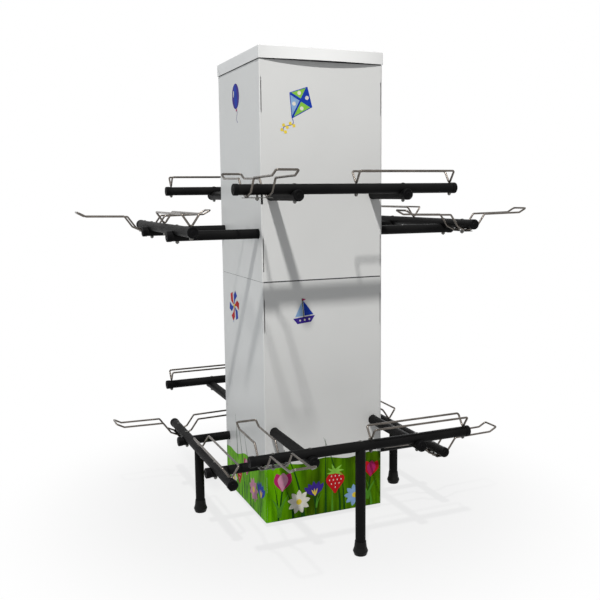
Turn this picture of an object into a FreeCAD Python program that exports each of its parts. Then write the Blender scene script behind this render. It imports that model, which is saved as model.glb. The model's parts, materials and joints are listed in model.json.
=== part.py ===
import FreeCAD, Part
import math
import os
import re

import Sketcher
from FreeCAD import Placement, Rotation, Vector

# Driving dimensions in millimetres. The floor is z = 0 and the tower's middle is x = y = 0.
SIZES = {
    # tower: panels, seam and cap
    "tower_width": 520.0,
    "tower_height": 1887.0,
    "seam_height": 996.0,
    "floor_gap": 20.0,
    "panel_sheet": 1.0,
    "panel_lip": 4.5,
    "corner_radius": 4.0,
    "panel_return": 15.0,
    "panel_bend": 1.0,
    "panel_joint": 0.4,
    "front_seam": 5.0,
    "side_seam": 1.5,
    "slit_length": 130.0,
    "slit_width": 3.0,
    "upper_slit_top": 66.0,
    "upper_slit_bottom": 38.0,
    "lower_slit_top": 65.0,
    "lower_slit_bottom": 65.0,
    "corner_slot_length": 66.0,
    "corner_slot_wrap": 5.0,
    "hole_clearance": 1.0,
    "cap_skirt": 48.0,
    "cap_gap": 3.0,
    "cap_sheet": 1.5,
    "cap_clearance": 1.0,
    "cap_bend": 3.0,
    "cap_tab": 38.0,
    "cap_seat": 0.3,
    # welded frames inside the tower
    "frame_tube": 30.0,
    "frame_wall": 1.5,
    "frame_clearance": 0.3,
    "spigot_length": 160.0,
    "glide_diameter": 36.0,
    "glide_plug": 15.0,
    # black tubes: arms, bars and legs
    "tube_diameter": 38.0,
    "tube_wall": 2.0,
    "arm_spacing": 440.0,
    "arm_overhang": 41.0,
    "bar_rise": 22.5,
    "bar_length": 900.0,
    "upper_front_height": 1329.0,
    "upper_front_reach": 500.0,
    "upper_side_height": 1183.0,
    "upper_side_reach": 580.0,
    "lower_front_height": 394.0,
    "lower_front_reach": 618.0,
    "lower_side_height": 252.0,
    "lower_side_reach": 456.0,
    "end_cap_flange": 4.0,
    "end_cap_sleeve": 14.0,
    "end_cap_wall": 1.5,
    "end_cap_round": 3.5,
    "end_cap_rim": 6.0,
    "end_cap_dish": 1.2,
    "end_cap_boss": 15.0,
    "end_cap_dimple": 6.0,
    "fit_clearance": 0.2,
    "leg_cope": 6.0,
    "leg_offset": 19.0,
    "leg_plate": 6.0,
    "leg_plate_depth": 20.0,
    # rubber feet of the legs
    "foot_floor": 8.0,
    "foot_height": 53.0,
    "foot_top_diameter": 42.0,
    "foot_neck_diameter": 47.0,
    "foot_neck_height": 30.0,
    "foot_bead_diameter": 57.0,
    "foot_bead_height": 15.0,
    "foot_bead_radius": 4.0,
    "foot_base_diameter": 46.0,
    # bright wire: wheel troughs and stabiliser rests
    "wire_diameter": 8.0,
    "wire_bend": 8.0,
    "trough_inset": 26.0,
    "trough_length": 400.0,
    "trough_width": 64.0,
    "trough_height": 64.0,
    "rest_inset": 89.0,
    "rest_width": 78.0,
    "rest_heel_reach": 14.0,
    "rest_foot_reach": 47.0,
    "rest_foot_height": -8.0,
    "rest_shoulder_reach": 81.0,
    "rest_shoulder_height": 39.0,
    "rest_shelf_reach": 255.0,
    "rest_shelf_height": 42.5,
    "rest_tip_reach": 288.0,
    "rest_tip_height": 60.0,
    "plate_length": 104.0,
    "plate_width": 30.0,
    "plate_thickness": 3.0,
    # fasteners
    "bolt_diameter": 8.0,
    "bolt_clearance": 0.25,
    "flange_diameter": 15.0,
    "flange_thickness": 0.8,
    "head_diameter": 13.0,
    "head_height": 1.8,
    "socket_flats": 5.0,
    "socket_depth": 3.0,
    "nut_flats": 13.0,
    "nut_height": 6.5,
    "nut_clearance": 0.1,
    "thread_out": 3.0,
}

doc = FreeCAD.newDocument("bicycle_display_stand")
sheet = doc.addObject("Spreadsheet::Sheet", "sizes")
for row, (name, number) in enumerate(SIZES.items(), start=1):
    sheet.set(f"A{row}", name)
    sheet.set(f"B{row}", str(number))
    sheet.setAlias(f"B{row}", name)
doc.recompute()

# Each face of the tower is the front face turned about Z: its name, cosine and sine.
FACES = {"front": (1, 0), "left": (0, -1), "back": (-1, 0), "right": (0, 1)}
LEVELS = ("upper", "lower")
# Formulas that several pieces share.
TUBE_RADIUS = "tube_diameter / 2"
ARM_X = "arm_spacing / 2"
POST_X = "(arm_spacing / 2 - tube_diameter / 2 - fit_clearance - frame_tube / 2)"
RING_HALF = "(tower_width / 2 - panel_sheet - frame_clearance)"
FRONT_EDGE = "(tower_width / 2 - panel_lip - panel_joint)"
HOLE_RADIUS = "bolt_diameter / 2 + bolt_clearance"
FRAME_TOP = "(tower_height - cap_sheet - cap_seat)"
U_BOLT_RADIUS = f"{TUBE_RADIUS} + fit_clearance + bolt_diameter / 2"
TROUGH_FAR_END = "bar_length / 2 - trough_inset"
TROUGH_STUDS = (f"{TROUGH_FAR_END} - trough_length", TROUGH_FAR_END)
BAR_HOLES = (f"-{ARM_X}", ARM_X, *TROUGH_STUDS, "rest_inset - bar_length / 2")
# Two bends that meet have no straight run between them.
SHORTEST_RUN = 0.001
# Steps in which the point of a V settles under its rounded bend.
V_STEPS = 20
# Two lengths this close are the same length.
SAME = 0.01
# The share by which a bent wire's volume may differ from its section times its length.
WIRE_TOLERANCE = 0.01

nodes = []


def size(alias):
    """The number in one cell of the sheet."""
    return float(sheet.get(alias))


def bind(thing, prop, formula):
    """Ties a property to a formula of the sheet's aliases."""
    named = re.sub(r"[a-z_]+", lambda word: "sizes." + word[0] if word[0] in SIZES else word[0], formula)
    thing.setExpression(prop, named)


def row_of(face, level):
    """The start of the aliases of a face's arms and bar, such as upper_front."""
    return f"{level}_front" if face in ("front", "back") else f"{level}_side"


def place(thing, face, x, y, z):
    """Puts a piece drawn on the front face at formulas x, y, z and turns it to its own face."""
    cosine, sine = FACES[face]
    thing.Placement = Placement(Vector(), Rotation(Vector(0, 0, 1), math.degrees(math.atan2(sine, cosine))))
    bind(thing, "Placement.Base.x", f"{cosine} * ({x}) - {sine} * ({y})")
    bind(thing, "Placement.Base.y", f"{sine} * ({x}) + {cosine} * ({y})")
    bind(thing, "Placement.Base.z", z)


def turned(face, x, y, z):
    """A placement in numbers: a point of the front face, turned to another face."""
    cosine, sine = FACES[face]
    turn = Rotation(Vector(0, 0, 1), math.degrees(math.atan2(sine, cosine)))
    return Placement(Vector(cosine * x - sine * y, sine * x + cosine * y, z), turn)


# Sketches and features

def new_body(label):
    body = doc.addObject("PartDesign::Body", label)
    body.Label = label
    return body


def new_sketch(body, role):
    """A sketch on one of the body's origin planes."""
    sketch = body.newObject("Sketcher::SketchObject", f"{body.Name}_sketch")
    plane = next(feature for feature in body.Origin.OriginFeatures if feature.Role == role)
    sketch.AttachmentSupport = (plane, [""])
    sketch.MapMode = "FlatFace"
    return sketch


def pin_point(sketch, geometry, point, x, y):
    """Fixes a point of the sketch at formulas x, y."""
    for axis, kind, formula in ((-2, "DistanceX", x), (-1, "DistanceY", y)):
        if formula == "0":
            sketch.addConstraint(Sketcher.Constraint("PointOnObject", geometry, point, axis))
        else:
            index = sketch.addConstraint(Sketcher.Constraint(kind, -1, 1, geometry, point, 1.0))
            bind(sketch, f"Constraints[{index}]", formula)


def add_outline(sketch, corners):
    """A closed outline of straight lines through corners given as formulas."""
    count = len(corners)
    start = sketch.GeometryCount
    step = 2 * math.pi / count
    drawn = [Vector(math.cos(i * step), math.sin(i * step), 0) for i in range(count)]
    for i in range(count):
        sketch.addGeometry(Part.LineSegment(drawn[i], drawn[(i + 1) % count]), False)
    for i in range(count):
        following = start + (i + 1) % count
        sketch.addConstraint(Sketcher.Constraint("Coincident", start + i, 2, following, 1))
    for i, (x, y) in enumerate(corners):
        pin_point(sketch, start + i, 1, x, y)


def add_circle(sketch, x, y, radius):
    geometry = sketch.addGeometry(Part.Circle(Vector(0, 0, 0), Vector(0, 0, 1), 1.0), False)
    pin_point(sketch, geometry, 3, x, y)
    index = sketch.addConstraint(Sketcher.Constraint("Radius", geometry, 1.0))
    bind(sketch, f"Constraints[{index}]", radius)


def pad(body, sketch, length, both_ways=False):
    feature = body.newObject("PartDesign::Pad", f"{body.Name}_pad")
    feature.Profile = sketch
    feature.SideType = "Symmetric" if both_ways else "One side"
    bind(feature, "Length", length)
    doc.recompute()


def cut_through(body, sketch):
    """Cuts the sketch through the whole body, on both sides of the sketch's plane."""
    before = body.Shape.Volume
    feature = body.newObject("PartDesign::Pocket", f"{body.Name}_cut")
    feature.Profile = sketch
    feature.Type = "ThroughAll"
    feature.SideType = "Symmetric"
    doc.recompute()
    if feature.Shape.Volume >= before:
        raise RuntimeError(f"{body.Label}: a cut removed nothing")


def spin(body, sketch):
    """Turns a half section, drawn on the XZ plane, once round the Z axis."""
    feature = body.newObject("PartDesign::Revolution", f"{body.Name}_spin")
    feature.Profile = sketch
    feature.ReferenceAxis = (sketch, ["V_Axis"])
    feature.Angle = 360.0
    doc.recompute()


def round_edges(body, radius, chosen):
    """Rounds the edges of the body's last feature for which chosen(edge) is true."""
    last = body.Tip
    names = [f"Edge{i}" for i, edge in enumerate(last.Shape.Edges, start=1) if chosen(edge)]
    if not names:
        raise RuntimeError(f"{body.Label}: no edge to round")
    feature = body.newObject("PartDesign::Fillet", f"{body.Name}_round")
    feature.Base = (last, names)
    bind(feature, "Radius", radius)
    doc.recompute()


def upright_at(x, y):
    """Chooses the vertical edges at x and -x, on the line y."""
    def chosen(edge):
        box = edge.BoundBox
        upright = box.XLength < SAME and box.YLength < SAME
        return upright and abs(abs(box.XMin) - x) < SAME and abs(box.YMin - y) < SAME
    return chosen


def keep(thing, solids=1):
    """Lists a finished piece, with the number of separate solids that it has to have."""
    nodes.append((thing, solids))


def ring_section(sketch):
    """The section of the black tube."""
    add_circle(sketch, "0", "0", TUBE_RADIUS)
    add_circle(sketch, "0", "0", f"{TUBE_RADIUS} - tube_wall")


# Tower: folded panels and cap

def make_panel(face, level):
    """A folded sheet: a flat face and an edge folded back on each side, with holes for two arms.

    The left and right panels lap round the corners with a short lip. The front and back panels lie
    between the lips, and their folded edges have a slit near each end. The upper panels stop short of
    the cap's skirt. At two corners a wider slot crosses the joint beside the arms.
    """
    body = new_body(f"{level}_{face}_panel")
    front = face in ("front", "back")
    edge = FRONT_EDGE if front else "tower_width / 2"
    fold = "panel_return" if front else "panel_lip"
    seam = "front_seam / 2" if front else "side_seam / 2"
    bottom = f"seam_height + {seam}" if level == "upper" else "floor_gap"
    top = "(tower_height - cap_skirt - cap_gap)" if level == "upper" else f"seam_height - {seam}"
    outer = "-tower_width / 2"

    inner = f"{outer} + panel_sheet"
    folded = f"{outer} + {fold}"
    right = f"{edge} - panel_sheet"
    left = f"panel_sheet - ({edge})"
    section = new_sketch(body, "XY_Plane")
    add_outline(section, [
        (f"-({edge})", outer), (edge, outer), (edge, folded), (right, folded),
        (right, inner), (left, inner), (left, folded), (f"-({edge})", folded),
    ])
    pad(body, section, f"{top} - ({bottom})")
    half = size("tower_width") / 2
    at = half - size("panel_lip") - size("panel_joint") if front else half
    bend = "panel_bend" if front else "corner_radius"
    round_edges(body, bend, upright_at(at, -half))
    if not front:
        deep = size("panel_sheet")
        round_edges(body, "corner_radius - panel_sheet", upright_at(at - deep, deep - half))

    openings = new_sketch(body, "XZ_Plane")
    arm_height = f"{row_of(face, level)}_height - ({bottom})"
    for x in (f"-{ARM_X}", ARM_X):
        add_circle(openings, x, arm_height, f"{TUBE_RADIUS} + hole_clearance")
    cut_through(body, openings)
    if front:
        slits = new_sketch(body, "XZ_Plane")
        for side in ("", "-"):
            top_slit = f"{top} - ({bottom}) - {level}_slit_top - slit_length"
            for low in (f"{level}_slit_bottom", top_slit):
                high = f"{low} + slit_length"
                inside = f"{side}({edge} - slit_width)"
                outside = f"{side}({edge} + slit_width)"
                add_outline(slits, [(inside, low), (outside, low), (outside, high), (inside, high)])
        cut_through(body, slits)
    if level == "upper":
        slot = new_sketch(body, "XZ_Plane")
        side = "-" if front else ""
        wide = "slit_width" if front else "corner_slot_wrap"
        low = f"upper_front_height - corner_slot_length / 2 - ({bottom})"
        high = f"upper_front_height + corner_slot_length / 2 - ({bottom})"
        inside = f"{side}({edge} - {wide})"
        outside = f"{side}({edge} + {wide})"
        add_outline(slot, [(inside, low), (outside, low), (outside, high), (inside, high)])
        cut_through(body, slot)
    place(body, face, "0", "0", bottom)
    keep(body)


def make_cap():
    """The tray over the tower: a square top with a skirt folded down on four sides.

    A mitred tab at each end of the front and back skirts laps onto the left and right ones.
    """
    body = new_body("top_cap")
    outside = "(tower_width / 2 + cap_clearance + cap_sheet)"
    inside = "(tower_width / 2 + cap_clearance)"
    square = new_sketch(body, "XY_Plane")
    add_outline(square, [(f"-{outside}", f"-{outside}"), (outside, f"-{outside}"),
                         (outside, outside), (f"-{outside}", outside)])
    pad(body, square, "cap_skirt")
    hollow = new_sketch(body, "XY_Plane")
    add_outline(hollow, [(f"-{inside}", f"-{inside}"), (inside, f"-{inside}"),
                         (inside, inside), (f"-{inside}", inside)])
    pocket = body.newObject("PartDesign::Pocket", "cap_hollow")
    pocket.Profile = hollow
    pocket.Reversed = True
    bind(pocket, "Length", "cap_skirt - cap_sheet")
    doc.recompute()
    half = size("tower_width") / 2 + size("cap_clearance") + size("cap_sheet")
    high = size("cap_skirt")

    def outer_edge(edge):
        box = edge.BoundBox
        corner = box.XLength < SAME and box.YLength < SAME and abs(abs(box.XMin) - half) < SAME
        rim = box.ZLength < SAME and abs(box.ZMin - high) < SAME
        return corner or rim

    round_edges(body, "cap_bend", outer_edge)
    for sign in ("", "-"):
        tabs = new_sketch(body, "YZ_Plane")
        bind(tabs, "AttachmentOffset.Base.z", f"{sign}({outside} - cap_sheet / 2)")
        for end in ("", "-"):
            back = f"{end}({outside} - cap_bend)"
            front = f"{end}({outside} - cap_bend - cap_tab)"
            add_outline(tabs, [(back, "0"), (back, "cap_tab"), (front, "0")])
        pad(body, tabs, "2 * cap_sheet", both_ways=True)
    place(body, "front", "0", "0", "tower_height - cap_skirt")
    keep(body)


# Welded frames of square tube

def make_box(name, low, high):
    """A box between two corners, each given as three formulas."""
    box = doc.addObject("Part::Box", name)
    for axis, prop, start, end in zip("xyz", ("Length", "Width", "Height"), low, high):
        bind(box, f"Placement.Base.{axis}", start)
        bind(box, prop, f"({end}) - ({start})")
    return box


def make_frame(level):
    """Four posts between a bottom ring and a top ring. Two rails cross each ring and carry the posts.

    The corners of a ring are stepped, to leave room for the folded edges of the panels.
    """
    label = f"{level}_frame"
    bottom = "seam_height" if level == "upper" else "floor_gap"
    top = FRAME_TOP if level == "upper" else "seam_height"
    half_tube = "frame_tube / 2"
    front_rail = f"({FRONT_EDGE} - panel_sheet - frame_clearance)"
    side_rail = "(tower_width / 2 - panel_return - frame_clearance)"
    members = []
    for side_x in ("", "-"):
        for side_y in ("", "-"):
            x = f"{side_x}{POST_X}"
            y = f"{side_y}{POST_X}"
            members.append((2, (x, y), (bottom, top)))
    for z in (f"{bottom} + {half_tube}", f"{top} - {half_tube}"):
        for side in ("", "-"):
            rail = f"{side}({RING_HALF} - {half_tube})"
            members.append((0, (rail, z), (f"-{front_rail}", front_rail)))
            members.append((1, (rail, z), (f"-{side_rail}", side_rail)))
            crossing = (f"frame_tube - {RING_HALF}", f"{RING_HALF} - frame_tube")
            members.append((1, (f"{side}{POST_X}", z), crossing))

    solids = []
    bores = []
    for index, (axis, (first, second), (start, end)) in enumerate(members):
        centres = [first, second]
        inset = f"{half_tube} - frame_wall"
        # a post is open at both ends, and a rail is closed by its own wall
        stop = "-frame_wall" if axis == 2 else "frame_wall"
        low = [f"{c} - {half_tube}" for c in centres]
        high = [f"{c} + {half_tube}" for c in centres]
        bore_low = [f"{c} - ({inset})" for c in centres]
        bore_high = [f"{c} + ({inset})" for c in centres]
        low.insert(axis, start)
        high.insert(axis, end)
        bore_low.insert(axis, f"{start} + ({stop})")
        bore_high.insert(axis, f"{end} - ({stop})")
        solids.append(make_box(f"{label}_member_{index}", low, high))
        bores.append(make_box(f"{label}_bore_{index}", bore_low, bore_high))

    # holes through the posts for the legs of the U-bolts
    reach = f"{POST_X} + frame_tube"
    for row, axis in ((f"{level}_front", "x"), (f"{level}_side", "y")):
        for post in ("", "-"):
            for leg in ("", "-"):
                hole = doc.addObject("Part::Cylinder", f"{label}_hole")
                bind(hole, "Radius", HOLE_RADIUS)
                bind(hole, "Height", f"2 * ({reach})")
                across = Vector(0, 1, 0) if axis == "x" else Vector(-1, 0, 0)
                hole.Placement = Placement(Vector(), Rotation(across, 90))
                other = "y" if axis == "x" else "x"
                bind(hole, f"Placement.Base.{axis}", f"-({reach})")
                bind(hole, f"Placement.Base.{other}", f"{post}{POST_X}")
                bind(hole, "Placement.Base.z", f"{row}_height + {leg}({U_BOLT_RADIUS})")
                bores.append(hole)
    outer = doc.addObject("Part::MultiFuse", f"{label}_outer")
    outer.Shapes = solids
    inner = doc.addObject("Part::MultiFuse", f"{label}_inner")
    inner.Shapes = bores
    frame = doc.addObject("Part::Cut", label)
    frame.Base = outer
    frame.Tool = inner
    frame.Label = label
    doc.recompute()
    keep(frame)


# Black tubes

def make_arm(level, direction, side):
    """A tube right through the tower, carrying a bar at each end in a saddle cut into its top."""
    names = {"through": {"-": "left", "": "right"}, "cross": {"": "front", "-": "back"}}
    body = new_body(f"{level}_{direction}_arm_{names[direction][side]}")
    face = "front" if direction == "through" else "left"
    row = row_of(face, level)
    section = new_sketch(body, "XZ_Plane")
    ring_section(section)
    pad(body, section, f"2 * ({row}_reach + arm_overhang - end_cap_flange)", both_ways=True)
    saddles = new_sketch(body, "YZ_Plane")
    holes = new_sketch(body, "XY_Plane")
    for end in ("", "-"):
        add_circle(saddles, f"{end}{row}_reach", "bar_rise", f"{TUBE_RADIUS} + fit_clearance")
        add_circle(holes, "0", f"{end}{row}_reach", HOLE_RADIUS)
    cut_through(body, saddles)
    cut_through(body, holes)
    place(body, face, f"{side}{ARM_X}", "0", f"{row}_height")
    keep(body)


def make_bar(face, level):
    """The tube that lies across a pair of arms, with its bolt holes."""
    body = new_body(f"{level}_{face}_bar")
    row = row_of(face, level)
    section = new_sketch(body, "YZ_Plane")
    ring_section(section)
    pad(body, section, "bar_length - 2 * end_cap_flange", both_ways=True)
    holes = new_sketch(body, "XY_Plane")
    for x in BAR_HOLES:
        add_circle(holes, x, "0", HOLE_RADIUS)
    if level == "lower":
        add_circle(holes, "-leg_offset", "0", HOLE_RADIUS)
    cut_through(body, holes)
    place(body, face, "0", f"-{row}_reach", f"{row}_height + bar_rise")
    keep(body)


def make_leg(face):
    """The tube under the middle of a lower bar, its top hollowed to the bar's round.

    A threaded plate is welded inside it, for the bolt that comes down through the bar.
    """
    body = new_body(f"{face}_leg")
    row = row_of(face, "lower")
    rise = f"{row}_height + bar_rise - foot_floor"
    section = new_sketch(body, "XY_Plane")
    ring_section(section)
    pad(body, section, f"{rise} - leg_cope")
    cope = new_sketch(body, "YZ_Plane")
    add_circle(cope, "0", rise, TUBE_RADIUS)
    cut_through(body, cope)
    plate = new_sketch(body, "XY_Plane")
    bind(plate, "AttachmentOffset.Base.z", f"{rise} - {TUBE_RADIUS} - leg_plate_depth - leg_plate")
    add_circle(plate, "0", "0", f"{TUBE_RADIUS} - tube_wall / 2")
    add_circle(plate, "0", "0", "bolt_diameter / 2 + nut_clearance")
    pad(body, plate, "leg_plate")
    place(body, face, "-leg_offset", f"-{row}_reach", "foot_floor")
    keep(body)


def make_foot(face):
    """The rubber ferrule on a leg: a socket that widens to a bead near the floor."""
    body = new_body(f"{face}_leg_foot")
    row = row_of(face, "lower")
    bore = f"{TUBE_RADIUS} + fit_clearance"
    section = new_sketch(body, "XZ_Plane")
    add_outline(section, [
        ("0", "0"), ("foot_base_diameter / 2", "0"),
        ("foot_bead_diameter / 2", "foot_bead_height"), ("foot_neck_diameter / 2", "foot_neck_height"),
        ("foot_top_diameter / 2", "foot_height"), (bore, "foot_height"),
        (bore, "foot_floor"), ("0", "foot_floor"),
    ])
    spin(body, section)
    turns = (size("foot_bead_height"), size("foot_neck_height"))

    def at_turn(edge):
        box = edge.BoundBox
        return box.ZLength < SAME and any(abs(box.ZMin - z) < SAME for z in turns)

    round_edges(body, "foot_bead_radius", at_turn)
    place(body, face, "-leg_offset", f"-{row}_reach", "0")
    keep(body)


# Bent wire

def bent_path(points, radii):
    """A wire of straight runs through the points, each corner rounded by its own radius."""
    edges = []
    start = points[0]
    for before, corner, after, radius in zip(points, points[1:], points[2:], radii):
        back = (before - corner).normalize()
        onward = (after - corner).normalize()
        turn = math.pi - back.getAngle(onward)
        run = radius * math.tan(turn / 2)
        middle = (back + onward).normalize()
        first = corner + back * run
        last = corner + onward * run
        crown = corner + middle * (radius / math.cos(turn / 2) - radius)
        if start.distanceToPoint(first) > SHORTEST_RUN:
            edges.append(Part.LineSegment(start, first).toShape())
        edges.append(Part.Arc(first, crown, last).toShape())
        start = last
    edges.append(Part.LineSegment(start, points[-1]).toShape())
    return Part.Wire(edges)


def wire_along(path, diameter):
    """A round bar along a path, checked against its section times its length."""
    first = path.Edges[0]
    circle = Part.Circle(first.Vertexes[0].Point, first.tangentAt(first.FirstParameter), diameter / 2)
    bar = path.makePipeShell([Part.Wire(circle.toShape())], True, False)
    expected = math.pi * diameter ** 2 / 4 * path.Length
    if abs(bar.Volume - expected) > WIRE_TOLERANCE * expected:
        raise RuntimeError("a bent wire has the wrong volume")
    return bar


def closed_loop(path, middle):
    """A closed wire loop: half of it along a path, and the same half turned about the middle's Z axis."""
    half = wire_along(path, size("wire_diameter"))
    other = half.copy()
    other.rotate(middle, Vector(0, 0, 1), 180)
    return half.fuse(other).removeSplitter()


def trough_middle():
    """The place of the trough's middle along its bar."""
    return size("bar_length") / 2 - size("trough_inset") - size("trough_length") / 2


def rest_middle():
    """The place of the rest's middle along its bar."""
    return size("rest_inset") - size("bar_length") / 2


def trough_shape():
    """Two rails over the bar. At each end they come down in a V to a stud welded under its point."""
    rail = size("trough_width") / 2
    high = size("trough_height")
    middle = trough_middle()
    half = size("trough_length") / 2
    end = middle + half
    bend = size("wire_bend")
    seat = size("tube_diameter") / 2
    low = seat + size("wire_diameter") / 2
    # the bend at the point of the V lies above the corner that it rounds
    point = low
    for _ in range(V_STEPS):
        slope = math.atan2(rail, high - point)
        point = low - bend * (1 / math.sin(slope) - 1)
    points = [
        Vector(middle, rail, high), Vector(end, rail, high), Vector(end, 0, point),
        Vector(end, -rail, high), Vector(middle, -rail, high),
    ]
    loop = closed_loop(bent_path(points, [bend, bend, bend]), Vector(middle, 0, 0))
    stud_length = low + seat + size("nut_height") + size("thread_out")
    studs = []
    for x in (middle - half, end):
        stud = Part.makeCylinder(size("bolt_diameter") / 2, stud_length, Vector(x, 0, low - stud_length))
        studs.append(stud)
    return loop.fuse(studs).removeSplitter()


def rest_shape():
    """Two wires side by side under the bar, rising to a shelf on each side and closed at the tips."""
    under = -(size("tube_diameter") + size("wire_diameter")) / 2
    profile = [(0, under), (size("rest_heel_reach"), under)]
    for bend in ("foot", "shoulder", "shelf", "tip"):
        profile.append((size(f"rest_{bend}_reach"), size(f"rest_{bend}_height")))
    middle = rest_middle()
    half = size("rest_width") / 2
    points = [Vector(middle - half, -reach, height) for reach, height in profile]
    points += [Vector(middle + half, -reach, height) for reach, height in reversed(profile)]
    radius = size("wire_bend")
    return closed_loop(bent_path(points, [radius] * (len(points) - 2)), Vector(middle, 0, 0))


def keep_shape(label, shape, where=None, solids=1):
    """A finished piece from a shape, at a placement."""
    feature = doc.addObject("Part::Feature", label)
    feature.Label = label
    feature.Shape = shape
    if where:
        feature.Placement = where
    keep(feature, solids)


def keep_group(label, copies):
    """Like pieces in one node: a list of shapes with their placements."""
    placed = []
    for shape, where in copies:
        piece = shape.copy()
        piece.Placement = where.multiply(shape.Placement)
        placed.append(piece)
    keep_shape(label, Part.makeCompound(placed), solids=len(placed))


# Small pieces that repeat

def end_cap_shape():
    """A cap that slips over a tube end. It faces along +Z.

    Its face has a rounded rim, a shallow dish and a small round boss with a dimple in the middle.
    """
    body = new_body("end_cap")
    bore = f"{TUBE_RADIUS} + fit_clearance"
    rim = f"{bore} + end_cap_wall"
    floor = "end_cap_flange - end_cap_dish"
    section = new_sketch(body, "XZ_Plane")
    add_outline(section, [
        ("0", "0"), (bore, "0"), (bore, "-end_cap_sleeve"), (rim, "-end_cap_sleeve"),
        (rim, "end_cap_flange"), (f"{rim} - end_cap_rim", "end_cap_flange"),
        (f"{rim} - end_cap_rim - end_cap_dish", floor), ("end_cap_boss / 2", floor),
        ("end_cap_boss / 2 - end_cap_dish", "end_cap_flange"), ("end_cap_dimple / 2", "end_cap_flange"),
        ("end_cap_dimple / 2", floor), ("0", floor),
    ])
    spin(body, section)
    high = size("end_cap_flange")
    radius = size("tube_diameter") / 2 + size("fit_clearance") + size("end_cap_wall")

    def outer_rim(edge):
        box = edge.BoundBox
        return box.ZLength < SAME and abs(box.ZMin - high) < SAME and abs(box.XMax - radius) < SAME

    round_edges(body, "end_cap_round", outer_rim)
    return body.Shape


def hexagon(flats):
    """A hexagon face on z = 0, by its width across flats."""
    radius = flats / math.sqrt(3)
    angles = [i * math.pi / 3 for i in range(6)]
    corners = [Vector(radius * math.cos(angle), radius * math.sin(angle), 0) for angle in angles]
    return Part.Face(Part.makePolygon(corners + corners[:1]))


def bolt_shape(length):
    """A bolt with a thin flanged head that hangs down from z = 0, with a hexagon socket."""
    shank = Part.makeCylinder(size("bolt_diameter") / 2, length, Vector(0, 0, -length))
    flange = Part.makeCylinder(size("flange_diameter") / 2, size("flange_thickness"))
    radius = size("head_diameter") / 2
    height = size("head_height")
    ball = (radius ** 2 + height ** 2) / (2 * height)
    centre = Vector(0, 0, size("flange_thickness") + height - ball)
    block = Part.makeCylinder(radius, height, Vector(0, 0, size("flange_thickness")))
    dome = Part.makeSphere(ball, centre).common(block)
    top = size("flange_thickness") + height
    socket = hexagon(size("socket_flats")).extrude(Vector(0, 0, size("socket_depth") + height))
    socket.translate(Vector(0, 0, top - size("socket_depth")))
    return shank.fuse([flange, dome]).removeSplitter().cut(socket)


def nut_shape():
    """A hexagon nut whose upper face is z = 0."""
    body = hexagon(size("nut_flats")).extrude(Vector(0, 0, -size("nut_height")))
    bore = size("bolt_diameter") / 2 + size("nut_clearance")
    return body.cut(Part.makeCylinder(bore, size("nut_height"), Vector(0, 0, -size("nut_height"))))


def u_bolt_shape():
    """A U of round rod that hugs a tube along Y from its +X side, with its legs towards -X."""
    radius = size("tube_diameter") / 2 + size("fit_clearance") + size("bolt_diameter") / 2
    leg = size("tube_diameter") / 2 + size("fit_clearance") + size("frame_tube")
    leg += size("nut_height") + size("thread_out")
    path = Part.Wire([
        Part.LineSegment(Vector(-leg, 0, -radius), Vector(0, 0, -radius)).toShape(),
        Part.Arc(Vector(0, 0, -radius), Vector(radius, 0, 0), Vector(0, 0, radius)).toShape(),
        Part.LineSegment(Vector(0, 0, radius), Vector(-leg, 0, radius)).toShape(),
    ])
    return wire_along(path, size("bolt_diameter"))


def make_end_caps():
    """A cap over both ends of each arm and bar."""
    cap = end_cap_shape()
    out = Rotation(Vector(1, 0, 0), 90)
    copies = []
    for level in LEVELS:
        for face in FACES:
            row = row_of(face, level)
            seat = size(f"{row}_reach") + size("arm_overhang") - size("end_cap_flange")
            bar_end = size("bar_length") / 2 - size("end_cap_flange")
            for side in (-1, 1):
                where = turned(face, side * size("arm_spacing") / 2, -seat, size(f"{row}_height"))
                copies.append((cap, where.multiply(Placement(Vector(), out))))
                high = size(f"{row}_height") + size("bar_rise")
                where = turned(face, side * bar_end, -size(f"{row}_reach"), high)
                along = Rotation(Vector(0, 1, 0), side * 90)
                copies.append((cap, where.multiply(Placement(Vector(), along))))
    keep_group("tube_end_caps", copies)


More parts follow.
